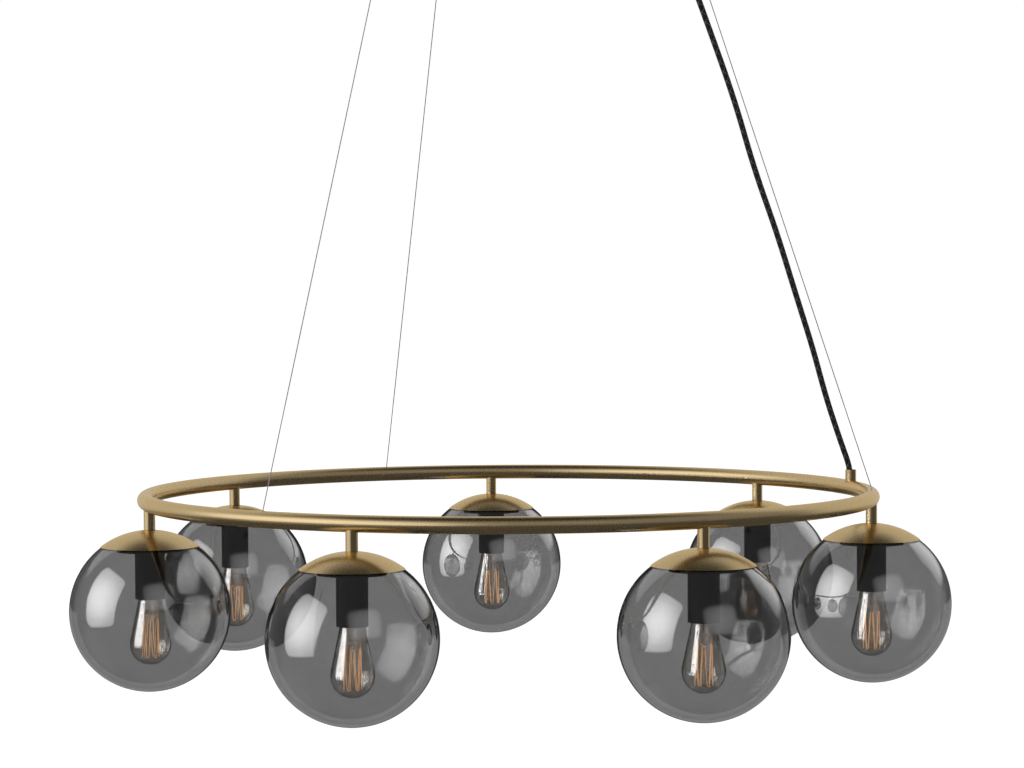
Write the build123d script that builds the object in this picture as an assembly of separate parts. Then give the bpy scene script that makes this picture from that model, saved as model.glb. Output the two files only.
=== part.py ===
from build123d import *
from build123d.topology import SkipClean
import math
import os

# Ring pendant with seven glass globes, hung from a ceiling canopy on three wires.
# The origin is the centre of the ceiling face and +Z is up, so all of it hangs below zero.
# Everything here is in millimetres and degrees.

# ---- Ring
ring_radius = 580.0            # centre of the ring to the centre line of its tube
ring_tube_radius = 12.5
ring_tube_wall = 1.5
ring_length_count = 3          # bent lengths of tube, welded end to end
ring_seam_angle = 30.0
ceiling_to_ring = 1470.0       # ceiling face to the ring's centre plane

# ---- Lamps under the ring
lamp_count = 7
first_lamp_angle = -9.7        # seen from above, from +X
stem_radius = 9.0
stem_length = 27.0             # lowest line of the ring tube to the top of the cap
nipple_radius = 5.0
nipple_bore_radius = 3.5
nipple_stub_in_ring = 2.0      # how far the nipple stands up inside the ring tube
nipple_stub_in_holder = 7.0
nipple_hole_gap = 0.2          # round the nipple, in every piece that it passes through
seat_gap = 0.05                # between faces that are clamped together

globe_radius = 125.0
globe_wall = 3.0
globe_mouth_radius = 52.0
cap_sheet = 1.0
cap_depth = 25.6               # crown of the cap to its rim
cap_to_globe_gap = 0.4

carrier_radius = 50.0
carrier_wall = 2.0
carrier_floor = 2.5
carrier_height = 33.0          # cap's underside to the carrier's lower face
carrier_boss_radius = 14.0
carrier_skirt_height = 20.0    # the carrier's outer wall, from its lower face
lug_count = 3
lug_reach = 6.0                # how far a lug stands out under the glass
lug_width = 20.0
lug_drop = 6.5                 # skirt's top edge to the lug's lower face
lug_to_glass_gap = 0.4
lug_notch_gap = 1.5            # round a lug where it passes through the glass mouth
globe_lock_turn = 45.0         # turn from locked to where the lugs pass the notches

holder_radius = 23.0
holder_wall = 2.5
holder_length = 73.0
holder_top = 4.0
holder_skirt = 12.0            # mouth of the sleeve to the insert's lower face
insert_gap = 0.2
insert_top = 7.0               # solid end of the insert, above the bulb's contact
insert_bore_gap = 0.5          # round the bulb's screw base

bulb_length = 142.0
bulb_radius = 32.0
bulb_glass_wall = 0.9
bulb_taper = 12.0              # angle of the flank from the bulb's axis
bulb_neck_radius = 12.3
bulb_neck_length = 6.0
bulb_shoulder_height = 4.0
base_radius = 13.2
base_thread_depth = 1.0
base_thread_pitch = 3.6
base_thread_turns = 5
base_collar = 3.5
base_sheet = 0.6
base_insulator_height = 4.0
base_contact_radius = 4.8
base_contact_height = 1.5
contact_gap = 0.3              # bulb's contact to the insert's end

filament_length = 58.0
filament_top_radius = 13.0
filament_foot_radius = 13.0
filament_hooks = 6             # at each end of the cage, so twice as many strands
filament_wire = 0.9            # diameter of the coiled thread
filament_bend = 0.8            # at a hook
filament_hook_gap = 0.8        # end of a spoke to the hook round it
filament_foot_gap = 12.0       # filament to the lowest point of the bulb
support_rod_radius = 1.5
support_wire_radius = 0.4

# ---- Suspension wires
wire_count = 3
first_wire_angle = -7.8
wire_diameter = 1.5
wire_hole_gap = 0.75           # round the wire where it enters the ring
wire_bend_radius = 12.0
wire_bend_drop = 4.0           # gripper's mouth to the corner of the wire's route
ferrule_radius = 2.25
ferrule_length = 8.0
ferrule_gap = 0.2

# ---- Power cable
cable_angle = 12.8
cable_diameter = 9.5
gland_radius = 9.0
gland_height = 17.5            # above the top line of the ring tube
gland_wall = 1.5
gland_insert_height = 8.0
gland_insert_gap = 0.2
cable_gap = 0.25               # round the cable in the gland, the bush and the clamp
cable_end_in_ring = 4.5        # below the top line of the ring tube
cable_entry_gap = 0.45         # round the cable in the ring's hole

# ---- Canopy
canopy_radius = 150.0
canopy_height = 34.0
canopy_sheet = 1.2
canopy_edge_radius = 5.0
canopy_to_ceiling_gap = 0.6
canopy_drop = 28.0             # how far the cover slides down before the slanting wires stop it
plate_to_cover_gap = 1.5
plate_thickness = 2.5
feed_hole_radius = 12.0
feed_hole_offset = 35.0        # plate's centre to the hole's centre
screw_circle_radius = 100.0
screw_hole_radius = 2.75
screw_hole_count = 4
screw_hole_angle = 35.0
tab_count = 3
first_tab_angle = 52.2
tab_width = 20.0
tab_sheet = 2.0
tab_drop = 20.0                # ceiling plate's underside to the tab's lower end
tab_slot_gap = 0.4
clamp_screw_radius = 2.0
clamp_screw_drop = 15.0        # ceiling face to the screw's axis
clamp_screw_head_radius = 5.0
clamp_screw_head_length = 6.0
clamp_screw_head_edge = 0.8
clamp_screw_proud = 1.0        # thread's end past the nut
clamp_screw_gap = 0.25
clamp_nut_size = 8.0
clamp_nut_thickness = 4.0

gripper_circle_radius = 120.0
gripper_radius = 6.0
gripper_length = 41.5
gripper_cone_length = 5.0
gripper_cone_radius = 4.2
gripper_stud_radius = 4.0
gripper_hole_gap = 0.5         # round the gripper in the canopy cover
plunger_radius = 2.6
plunger_length = 16.0
plunger_proud = 6.0
plunger_travel = 2.0
plunger_edge = 0.6
plunger_gap = 0.08
plunger_wire_gap = 0.25
gripper_spring_room = 5.0
wire_tail_in_gripper = 18.0    # above the plunger's upper end

cable_exit_radius = 118.0      # canopy's axis to the cable's axis at the ceiling
cable_upright_length = 54.0    # below the cord bush when the canopy cover is let down
bush_radius = 8.0
bush_flange_radius = 11.0
bush_flange_height = 3.0
bush_nut_radius = 11.0
bush_nut_height = 4.0
bush_hole_gap = 0.2
cable_end_drop = 14.0          # ceiling face to the upper end of the cable's sheath
clamp_block_length = 26.0
clamp_block_width = 20.0
clamp_block_height = 19.0
clamp_block_edge_radius = 3.0
clamp_window_height = 6.0

terminal_length = 30.0
terminal_width = 17.0
terminal_height = 14.0
terminal_to_cable = 48.0       # terminal block's middle to the cable's axis
terminal_edge_radius = 1.5
lead_count = 3
lead_radius = 1.2
lead_pitch = 5.0
lead_bend = 6.0
lead_end_inset = 1.0           # end of a lead to the terminal block's middle

bundle_radius = 3.0
bundle_inset = 5.5             # ring's centre line to the bundle's centre line
branch_radius = 1.8

cut_margin = 1.0               # how far a cutting tool runs past a face
arc_share = 0.45               # of a cord's shorter run, that an arc at its corner takes up

# ---- Derived places
ring_z = -ceiling_to_ring
ring_top_z = ring_z + ring_tube_radius
ring_bore_radius = ring_tube_radius - ring_tube_wall
cap_radius = globe_radius + cap_to_globe_gap + cap_sheet
cap_inner_radius = cap_radius - cap_sheet
lamp_z = ring_z - ring_tube_radius - stem_length - cap_radius
nipple_hole_radius = nipple_radius + nipple_hole_gap
carrier_z = cap_inner_radius - carrier_height
holder_mouth_z = carrier_z - seat_gap - holder_length
insert_foot_z = holder_mouth_z + holder_skirt
base_height = base_collar + base_thread_pitch * base_thread_turns
base_full_height = base_height + base_insulator_height + base_contact_height
bulb_tip_z = insert_foot_z + base_full_height - bulb_length
bulb_ball_z = bulb_tip_z + bulb_radius
base_foot_z = insert_foot_z
contact_z = base_foot_z + base_full_height
plunger_mouth_z = -plate_thickness - gripper_length - plunger_proud
canopy_floor_z = -canopy_to_ceiling_gap - canopy_height
plate_radius = canopy_radius - canopy_sheet - plate_to_cover_gap
terminal_radius_from_axis = cable_exit_radius - terminal_to_cable
bush_foot_z = canopy_floor_z - seat_gap - bush_flange_height
cable_lean_z = bush_foot_z - canopy_drop - cable_upright_length
full_turn = 360.0

# Route of the power cable in its own upright plane: distance out from the fixture's axis,
# sideways shift, and height above the ring's centre plane. Its two ends are added below.
cable_route = [
    (563.0, 1.0, 76.0),
    (538.0, 3.0, 150.0),
    (515.0, 2.0, 232.0),
    (484.5, -2.0, 320.0),
    (452.0, -4.0, 420.0),
    (414.0, -1.0, 525.0),
    (382.5, 3.0, 636.0),
    (340.0, 4.0, 752.0),
    (294.0, 1.0, 870.0),
    (250.0, -3.0, 990.0),
    (202.0, -4.0, 1112.0),
    (152.0, -1.0, 1236.0),
]


# ---- Shapes that several pieces use
def rod(radius, bottom, top):
    """Upright solid cylinder between two heights."""
    blank = Cylinder(radius, top - bottom, align=(Align.CENTER, Align.CENTER, Align.MIN))
    return Pos(0, 0, bottom) * blank


def pipe(outer_radius, inner_radius, bottom, top):
    """Upright hollow cylinder between two heights."""
    return rod(outer_radius, bottom, top) - rod(inner_radius, bottom - cut_margin, top + cut_margin)


def turned(*points):
    """Solid of revolution about Z from (radius, height) corners."""
    outline = Polyline(*[(radius, 0, height) for radius, height in points], close=True)
    return revolve(make_face(outline), Axis.Z)


def block(length, width, bottom, top):
    """Upright box centred on Z between two heights."""
    blank = Box(length, width, top - bottom, align=(Align.CENTER, Align.CENTER, Align.MIN))
    return Pos(0, 0, bottom) * blank


def angles(count, first):
    """Equal steps round the fixture's axis."""
    return [first + full_turn * index / count for index in range(count)]


def around(angle, radius, height=0.0):
    """Place on a circle about the fixture's axis, with local +X pointing outwards."""
    return Rot(0, 0, angle) * Pos(radius, 0, height)


def group(pieces):
    """Several separate solids under one name."""
    solids = [solid for piece in pieces for solid in piece.solids()]
    return Compound(solids)


def corner_radii(points):
    """Largest arc that each corner of a cord's route has room for."""
    radii = []
    for before, corner, after in zip(points, points[1:], points[2:]):
        run_in = corner - before
        run_out = after - corner
        half_turn = math.radians(run_in.get_angle(run_out)) / 2
        radii.append(arc_share * min(run_in.length, run_out.length) / math.tan(half_turn))
    return radii


def cord(points, radii, diameter):
    """Round cord swept along straight runs joined by tangent arcs."""
    path = FilletPolyline(*points, radius=radii)
    section = Plane(origin=path @ 0, z_dir=path % 0) * Circle(diameter / 2)
    return sweep(section, path=path), path.length


# ---- Ring: bent lengths of tube, drilled for stems, wires and the gland, then welded to a circle
def make_ring():
    stem_drill = rod(nipple_hole_radius, -ring_tube_radius - cut_margin, 0)
    drill_top = ring_tube_radius + cut_margin
    wire_drill = rod(wire_diameter / 2 + wire_hole_gap, 0, drill_top)
    cable_drill = rod(cable_diameter / 2 + cable_entry_gap, 0, drill_top)
    drills = [around(angle, ring_radius) * stem_drill for angle in angles(lamp_count, first_lamp_angle)]
    drills += [around(angle, ring_radius) * wire_drill for angle in angles(wire_count, first_wire_angle)]
    drills.append(around(cable_angle, ring_radius) * cable_drill)
    section = Pos(ring_radius, 0, 0) * Rot(90, 0, 0) * (Circle(ring_tube_radius) - Circle(ring_bore_radius))
    with SkipClean():              # keeps the weld seams as edges
        lengths = []
        for angle in angles(ring_length_count, ring_seam_angle):
            bent = revolve(Rot(0, 0, angle) * section, Axis.Z, full_turn / ring_length_count)
            lengths.append(bent - drills)
        ring = lengths[0] + lengths[1:]
    return Pos(0, 0, ring_z) * ring


# ---- Stem, nipple and cap, drawn about the globe's centre
def make_stem():
    ring_height = ring_z - lamp_z
    stem = pipe(stem_radius, nipple_hole_radius, cap_radius, ring_height)
    saddle = Pos(-ring_radius, 0, ring_height) * Torus(ring_radius, ring_tube_radius + seat_gap)
    return stem - saddle


def make_nipple():
    top = ring_z - lamp_z - ring_bore_radius + nipple_stub_in_ring
    bottom = carrier_z - seat_gap - nipple_stub_in_holder
    return pipe(nipple_radius, nipple_bore_radius, bottom, top)


def make_cap():
    shell = Sphere(cap_radius) - Sphere(cap_inner_radius)
    cut_size = 2 * (cap_radius + cut_margin)
    shell -= block(cut_size, cut_size, -cut_size / 2, cap_radius - cap_depth)
    return shell - rod(nipple_hole_radius, 0, cap_radius + cut_margin)


# ---- Globe: a blown sphere with a round mouth, notched where the carrier's lugs pass
def lug_blank(reach, width, bottom, top):
    bar = Pos(reach / 2, 0, 0) * block(reach, width, bottom, top)
    return bar & rod(reach, bottom, top)


def make_globe():
    shell = Sphere(globe_radius) - Sphere(globe_radius - globe_wall)
    shell -= rod(globe_mouth_radius, 0, globe_radius + cut_margin)
    notch_reach = carrier_radius + lug_reach + lug_notch_gap
    notch_width = lug_width + 2 * lug_notch_gap
    notch = lug_blank(notch_reach, notch_width, 0, globe_radius + cut_margin)
    for angle in angles(lug_count, -globe_lock_turn):
        shell -= Rot(0, 0, angle) * notch
    return shell


# ---- Carrier: a black moulded dish clamped under the cap; its lugs hold the globe
def make_carrier():
    floor_top = carrier_z + carrier_floor
    skirt_top = carrier_z + carrier_skirt_height
    dish = rod(carrier_radius, carrier_z, skirt_top)
    dish -= rod(carrier_radius - carrier_wall, floor_top, skirt_top + cut_margin)
    boss = rod(carrier_boss_radius, carrier_z, cap_inner_radius)
    dish += boss & Sphere(cap_inner_radius - seat_gap)
    lug_reach_radius = carrier_radius + lug_reach
    lug = lug_blank(lug_reach_radius, lug_width, skirt_top - lug_drop, skirt_top)
    lug -= rod(carrier_radius - carrier_wall / 2, carrier_z, skirt_top + cut_margin)
    lug = lug & Sphere(globe_radius - globe_wall - lug_to_glass_gap)
    for angle in angles(lug_count, 0.0):
        dish += Rot(0, 0, angle) * lug
    return dish - rod(nipple_hole_radius, carrier_z - cut_margin, cap_inner_radius)


# ---- Lampholder: a black sleeve round an insulating insert with a bore for the bulb's base
def make_lampholder():
    top = carrier_z - seat_gap
    inner_radius = holder_radius - holder_wall
    sleeve = rod(holder_radius, holder_mouth_z, top)
    sleeve -= rod(inner_radius, holder_mouth_z - cut_margin, top - holder_top)
    sleeve -= rod(nipple_hole_radius, holder_mouth_z, top + cut_margin)
    bore_top = contact_z + contact_gap
    insert = rod(inner_radius - insert_gap, insert_foot_z, bore_top + insert_top)
    insert -= rod(base_radius + insert_bore_gap, insert_foot_z - cut_margin, bore_top)
    return group([sleeve, insert])


# ---- Bulb: pear-shaped glass, screw base, and a cage of filament on a glass rod
def bulb_outline(inset):
    """Half outline of the bulb, from its tip to the end of its neck, set in by a distance."""
    ball = bulb_radius - inset
    flank = math.radians(bulb_taper)
    neck = bulb_neck_radius - inset
    tangent_r = ball * math.cos(flank)
    tangent_z = bulb_ball_z + ball * math.sin(flank)
    shoulder_z = base_foot_z - bulb_shoulder_height
    shoulder_r = tangent_r - (shoulder_z - tangent_z) * math.tan(flank)
    belly_angle = (flank - math.pi / 2) / 2
    belly = (ball * math.cos(belly_angle), 0, bulb_ball_z + ball * math.sin(belly_angle))
    tip = (0, 0, bulb_ball_z - ball)
    tangent = (tangent_r, 0, tangent_z)
    shoulder = (shoulder_r, 0, shoulder_z)
    neck_foot = (neck, 0, base_foot_z)
    neck_top = (neck, 0, base_foot_z + bulb_neck_length)
    round_end = ThreePointArc(tip, belly, tangent)
    side = Line(tangent, shoulder)
    turn_in = Line(shoulder, neck_foot)
    throat = Line(neck_foot, neck_top)
    lid = Line(neck_top, (0, 0, neck_top[2]))
    axis = Line((0, 0, neck_top[2]), tip)
    return make_face(Wire([round_end, side, turn_in, throat, lid, axis]))


def make_bulb_glass():
    outside = revolve(bulb_outline(0.0), Axis.Z)
    inside = revolve(bulb_outline(bulb_glass_wall), Axis.Z)
    neck_top = base_foot_z + bulb_neck_length
    mouth_foot = neck_top - 2 * bulb_glass_wall
    mouth = rod(bulb_neck_radius - bulb_glass_wall, mouth_foot, neck_top + cut_margin)
    return outside - inside - mouth


def make_bulb_base():
    """Screw shell with a rolled thread, insulator and contact, as one turned solid."""
    foot = base_foot_z
    root = base_radius - base_thread_depth
    inner = bulb_neck_radius + insert_gap
    outline = [(inner, foot), (base_radius, foot), (base_radius, foot + base_collar / 2)]
    for turn in range(base_thread_turns):
        start = foot + base_collar + turn * base_thread_pitch
        outline.append((root, start))
        outline.append((base_radius, start + base_thread_pitch / 2))
    shoulder = foot + base_height
    outline.append((root, shoulder))
    outline.append((base_contact_radius, shoulder + base_insulator_height))
    outline.append((base_contact_radius, contact_z))
    outline.append((0, contact_z))
    cavity_top = shoulder - base_sheet
    outline.append((0, cavity_top))
    outline.append((root - base_sheet, cavity_top))
    outline.append((root - base_sheet, foot + bulb_neck_length + base_sheet))
    outline.append((inner, foot + bulb_neck_length))
    return turned(*outline)


def filament_corners(overrun):
    """Zigzag round the cage: a hook at the foot, then one at the top half a pitch further on.

    The thread turns at each hook before it gets to the corner of its route, so the corners
    stand past the cage's two ends by the overrun.
    """
    foot_z = bulb_tip_z + filament_foot_gap - overrun
    top_z = foot_z + filament_length + 2 * overrun
    half_pitch = full_turn / filament_hooks / 2
    corners = []
    for angle in angles(filament_hooks, 0.0):
        foot = around(angle, filament_foot_radius, foot_z)
        top = around(angle + half_pitch, filament_top_radius, top_z)
        corners += [foot.position, top.position]
    return corners


def hook_overrun():
    """Distance from the outside of a hook to the corner of its route."""
    first, second, third = filament_corners(0.0)[:3]
    half_turn = math.radians((second - first).get_angle(third - second)) / 2
    return filament_bend * (1 / math.cos(half_turn) - 1)


def make_filament():
    """Cage of one thread, and the glass rod whose spokes hold its hooks."""
    overrun = hook_overrun()
    corners = filament_corners(overrun)
    cage, length = cord(corners, [filament_bend] * (len(corners) - 2), filament_wire)
    foot_z = bulb_tip_z + filament_foot_gap
    support = rod(support_rod_radius, foot_z, base_foot_z + base_height - base_sheet)
    for index, corner in enumerate(corners):
        reach = math.hypot(corner.X, corner.Y) - filament_hook_gap
        height = foot_z if index % 2 == 0 else foot_z + filament_length
        spoke = Pos(0, 0, height) * Rot(0, 90, 0) * rod(support_wire_radius, 0, reach)
        support += Rot(0, 0, math.degrees(math.atan2(corner.Y, corner.X))) * spoke
    return cage, support


# ---- Suspension wires with their ferrules
def wire_route(angle):
    """Upright out of the gripper, then straight down to the hole in the ring."""
    outwards = Vector(math.cos(math.radians(angle)), math.sin(math.radians(angle)), 0)
    at_gripper = outwards * gripper_circle_radius
    tail_z = plunger_mouth_z + plunger_length + wire_tail_in_gripper
    corner = at_gripper + Vector(0, 0, plunger_mouth_z - wire_bend_drop)
    hole = outwards * ring_radius + Vector(0, 0, ring_top_z)
    along = (hole - corner).normalized()
    lean = math.radians(along.get_angle(Vector(0, 0, -1)))
    bore_reach = ring_bore_radius - ferrule_gap
    edge_offset = ring_tube_radius * math.sin(lean) + ferrule_radius
    seat = ring_tube_radius * math.cos(lean) - math.sqrt(bore_reach ** 2 - edge_offset ** 2)
    wire_end = hole + along * (seat + ferrule_length)
    return [at_gripper + Vector(0, 0, tail_z), corner, wire_end]


def make_wire(angle):
    return cord(wire_route(angle), [wire_bend_radius], wire_diameter)


def make_ferrule(angle):
    tail, corner, end = wire_route(angle)
    along = (end - corner).normalized()
    seat = Plane(origin=end - along * ferrule_length, z_dir=along)
    return seat * pipe(ferrule_radius, wire_diameter / 2 + ferrule_gap, 0, ferrule_length)


# ---- Power cable, gland and its clamping insert
def cable_points():
    place = Rot(0, 0, cable_angle)
    ring_end = (ring_radius, 0, ring_tube_radius - cable_end_in_ring)
    ring_exit = (ring_radius, 0, ring_tube_radius + gland_height)
    lean = (cable_exit_radius, 0, cable_lean_z - ring_z)
    ceiling_end = (cable_exit_radius, 0, -cable_end_drop - ring_z)
    route = [ring_end, ring_exit] + cable_route + [lean, ceiling_end]
    return [(place * Pos(x, y, z + ring_z)).position for x, y, z in route]


def make_gland():
    sleeve = pipe(gland_radius, gland_radius - gland_wall, 0, ring_tube_radius + gland_height)
    sleeve -= Pos(-ring_radius, 0, 0) * Torus(ring_radius, ring_tube_radius + seat_gap)
    return around(cable_angle, ring_radius, ring_z) * sleeve


def make_gland_insert():
    outer = gland_radius - gland_wall - gland_insert_gap
    inner = cable_diameter / 2 + cable_gap
    top = ring_tube_radius + gland_insert_height
    insert = pipe(outer, inner, 0, top)
    insert -= Pos(-ring_radius, 0, 0) * Torus(ring_radius, ring_tube_radius + seat_gap)
    return around(cable_angle, ring_radius, ring_z) * insert


# ---- Wiring inside the ring: one bundle all round, a branch down each nipple, a riser to the cable
def make_ring_wiring():
    bundle = Torus(ring_radius - bundle_inset, bundle_radius)
    elbow = Pos(-bundle_inset, 0, 0) * Rot(0, 90, 0) * rod(branch_radius, 0, bundle_inset)
    branch_foot = lamp_z + contact_z + contact_gap + insert_top - ring_z
    branch = rod(branch_radius, branch_foot, 0) + Sphere(branch_radius) + elbow
    riser_top = ring_tube_radius - cable_end_in_ring
    riser = rod(branch_radius, 0, riser_top) + Sphere(branch_radius) + elbow
    for angle in angles(lamp_count, first_lamp_angle):
        bundle += around(angle, ring_radius) * branch
    bundle += around(cable_angle, ring_radius) * riser
    return Pos(0, 0, ring_z) * bundle


# ---- Ceiling plate: steel disc with three tabs bent down at its edge
def tab_centre_radius():
    """The tab's outer corners stay on the plate's edge."""
    return math.sqrt(plate_radius ** 2 - (tab_width / 2) ** 2) - tab_sheet / 2


def plate_drill(radius):
    return rod(radius, -plate_thickness - cut_margin, cut_margin)


def make_ceiling_plate():
    plate = rod(plate_radius, -plate_thickness, 0)
    plate -= around(cable_angle, feed_hole_offset) * plate_drill(feed_hole_radius)
    for angle in angles(screw_hole_count, screw_hole_angle):
        plate -= around(angle, screw_circle_radius) * plate_drill(screw_hole_radius)
    for angle in angles(wire_count, first_wire_angle):
        stud_hole = plate_drill(gripper_stud_radius + seat_gap)
        plate -= around(angle, gripper_circle_radius) * stud_hole
    tab_foot = -plate_thickness - tab_drop
    slot_width = 2 * (clamp_screw_radius + tab_slot_gap)
    tab = block(tab_sheet, tab_width, tab_foot, -plate_thickness / 2)
    tab -= block(2 * tab_sheet, slot_width, tab_foot - cut_margin, -clamp_screw_drop)
    tab -= Pos(0, 0, -clamp_screw_drop) * Rot(0, 90, 0) * rod(slot_width / 2, -tab_sheet, tab_sheet)
    for angle in angles(tab_count, first_tab_angle):
        plate += around(angle, tab_centre_radius()) * tab
    return plate


# ---- Canopy cover: a pressed pan with rounded lower edge
def floor_drill(radius):
    return rod(radius, canopy_floor_z - cut_margin, canopy_floor_z / 2)


def make_canopy_cover():
    top = -canopy_to_ceiling_gap
    pan = rod(canopy_radius, canopy_floor_z, top)
    pan = fillet(pan.edges().group_by(Axis.Z)[0], canopy_edge_radius)
    inside = rod(canopy_radius - canopy_sheet, canopy_floor_z + canopy_sheet, top + cut_margin)
    inside = fillet(inside.edges().group_by(Axis.Z)[0], canopy_edge_radius - canopy_sheet)
    pan -= inside
    for angle in angles(wire_count, first_wire_angle):
        gripper_hole = floor_drill(gripper_radius + gripper_hole_gap)
        pan -= around(angle, gripper_circle_radius) * gripper_hole
    bush_hole = floor_drill(bush_radius + bush_hole_gap)
    pan -= around(cable_angle, cable_exit_radius) * bush_hole
    screw_drill = rod(clamp_screw_radius + clamp_screw_gap, -canopy_edge_radius, canopy_edge_radius)
    for angle in angles(tab_count, first_tab_angle):
        screw_hole = Rot(0, 90, 0) * screw_drill
        pan -= around(angle, canopy_radius, -clamp_screw_drop) * screw_hole
    return pan


def make_clamp_screw():
    """Knurled screw through the cover's wall and the tab's slot, with a square nut behind."""
    tab_inner_radius = tab_centre_radius() - tab_sheet / 2
    nut_radius_from_axis = tab_inner_radius - clamp_screw_gap - clamp_nut_thickness
    shank_start = nut_radius_from_axis - clamp_screw_proud
    along = Rot(0, 90, 0)
    shank = along * rod(clamp_screw_radius, shank_start, canopy_radius + seat_gap)
    head_end = canopy_radius + seat_gap + clamp_screw_head_length
    head = rod(clamp_screw_head_radius, canopy_radius + seat_gap, head_end)
    head = chamfer(head.edges().group_by(Axis.Z)[-1], clamp_screw_head_edge)
    screw = Pos(0, 0, -clamp_screw_drop) * (shank + along * head)
    nut_end = nut_radius_from_axis + clamp_nut_thickness
    nut = block(clamp_nut_size, clamp_nut_size, nut_radius_from_axis, nut_end)
    nut -= rod(clamp_screw_radius + seat_gap, shank_start, canopy_radius)
    return group([screw, Pos(0, 0, -clamp_screw_drop) * along * nut])


# ---- Wire gripper hung under the plate, and its release plunger
def make_gripper():
    foot = -plate_thickness - gripper_length
    body = turned(
        (0, -seat_gap),
        (gripper_stud_radius, -seat_gap),
        (gripper_stud_radius, -plate_thickness - seat_gap),
        (gripper_radius, -plate_thickness - seat_gap),
        (gripper_radius, foot + gripper_cone_length),
        (gripper_cone_radius, foot),
        (0, foot),
    )
    plunger_top = plunger_mouth_z + plunger_length
    room_top = plunger_top + plunger_travel + gripper_spring_room
    body -= rod(plunger_radius + plunger_gap, foot - cut_margin, room_top)
    wire_bore = wire_diameter / 2 + plunger_wire_gap
    body -= rod(wire_bore, foot, plunger_top + wire_tail_in_gripper)
    return body


def make_plunger():
    wire_bore = wire_diameter / 2 + plunger_wire_gap
    plunger = pipe(plunger_radius, wire_bore, plunger_mouth_z, plunger_mouth_z + plunger_length)
    mouth_edges = plunger.edges().group_by(Axis.Z)[0]
    return chamfer(mouth_edges.sort_by(SortBy.RADIUS)[-1:], plunger_edge)


# ---- Cord bush in the canopy cover, cable clamp, terminal block and leads
def make_cord_bush():
    bore = cable_diameter / 2 + cable_gap
    flange_top = bush_foot_z + bush_flange_height
    neck_top = canopy_floor_z + canopy_sheet + bush_nut_height + 2 * seat_gap
    bush = rod(bush_flange_radius, bush_foot_z, flange_top)
    bush += rod(bush_radius, flange_top, neck_top)
    bush -= rod(bore, bush_foot_z - cut_margin, neck_top + cut_margin)
    nut_foot = canopy_floor_z + canopy_sheet + seat_gap
    nut = Pos(0, 0, nut_foot) * extrude(RegularPolygon(bush_nut_radius, 6), bush_nut_height)
    nut -= rod(bush_radius + seat_gap, canopy_floor_z, neck_top + cut_margin)
    return around(cable_angle, cable_exit_radius) * group([bush, nut])


def make_cable_clamp():
    top = -plate_thickness - seat_gap
    bottom = top - clamp_block_height
    clamp = block(clamp_block_length, clamp_block_width, bottom, top)
    clamp = fillet(clamp.edges().filter_by(Axis.Z), clamp_block_edge_radius)
    window_top = -cable_end_drop + clamp_window_height
    clamp -= rod(cable_diameter / 2 + cable_gap, bottom - cut_margin, window_top)
    window = Pos(-clamp_block_length / 2, 0, 0) * block(
        clamp_block_length, cable_diameter, -cable_end_drop, window_top
    )
    return around(cable_angle, cable_exit_radius) * (clamp - window)


def make_terminal_block():
    top = -plate_thickness - seat_gap
    body = block(terminal_width, terminal_length, top - terminal_height, top)
    body = fillet(body.edges().filter_by(Axis.Z), terminal_edge_radius)
    lead_z = -cable_end_drop + clamp_window_height / 2
    screw_well = rod(lead_radius, top - terminal_height - cut_margin, top - terminal_height / 2)
    for index in range(lead_count):
        y = (index - (lead_count - 1) / 2) * lead_pitch
        body -= Pos(0, y, lead_z) * Rot(0, 90, 0) * rod(lead_radius + seat_gap, 0, terminal_width)
        body -= Pos(0, y, 0) * screw_well
    return around(cable_angle, terminal_radius_from_axis) * body


def make_supply_leads():
    """Cores from the end of the sheath straight into the terminal block."""
    lead_z = -cable_end_drop + clamp_window_height / 2
    leads = []
    for index in range(lead_count):
        side = index - (lead_count - 1) / 2
        start = Vector(cable_exit_radius, side * 2 * (lead_radius + seat_gap), -cable_end_drop)
        turn = Vector(cable_exit_radius, start.Y, lead_z)
        spread = Vector((cable_exit_radius + terminal_radius_from_axis) / 2, start.Y, lead_z)
        aim = Vector(terminal_radius_from_axis + terminal_width, side * lead_pitch, lead_z)
        end = Vector(terminal_radius_from_axis + lead_end_inset, side * lead_pitch, lead_z)
        points = [start, turn, spread, aim, end] if side else [start, turn, end]
        radii = [clamp_window_height / 4] + [lead_bend] * (len(points) - 3)
        lead, length = cord(points, radii, 2 * lead_radius)
        leads.append(Rot(0, 0, cable_angle) * lead)
    return group(leads)


# ---- Write one file per named piece
os.makedirs("parts", exist_ok=True)


def write(name, shape):
    export_step(shape, f"parts/{name}.step")


write("ring_tube", make_ring())
write("cord_gland", make_gland())
write("gland_insert", make_gland_insert())
write("ring_wiring", make_ring_wiring())

lamp_places = [around(angle, ring_radius, lamp_z) for angle in angles(lamp_count, first_lamp_angle)]
stem = make_stem()
nipple = make_nipple()
cap = make_cap()
carrier = make_carrier()
lampholder = make_lampholder()
globe = make_globe()
bulb_glass = make_bulb_glass()
bulb_base = make_bulb_base()
filament_cage, filament_support = make_filament()

write("stems", group([place * stem for place in lamp_places]))
write("nipples", group([place * nipple for place in lamp_places]))
write("globe_carriers", group([place * carrier for place in lamp_places]))
for number, place in enumerate(lamp_places, start=1):
    write(f"cap_{number}", place * cap)
    write(f"lampholder_{number}", place * lampholder)
    write(f"globe_{number}", place * globe)
    write(f"bulb_glass_{number}", place * bulb_glass)
    base_pieces = [bulb_base, filament_support, filament_cage]
    write(f"bulb_base_{number}", group([place * piece for piece in base_pieces]))

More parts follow.
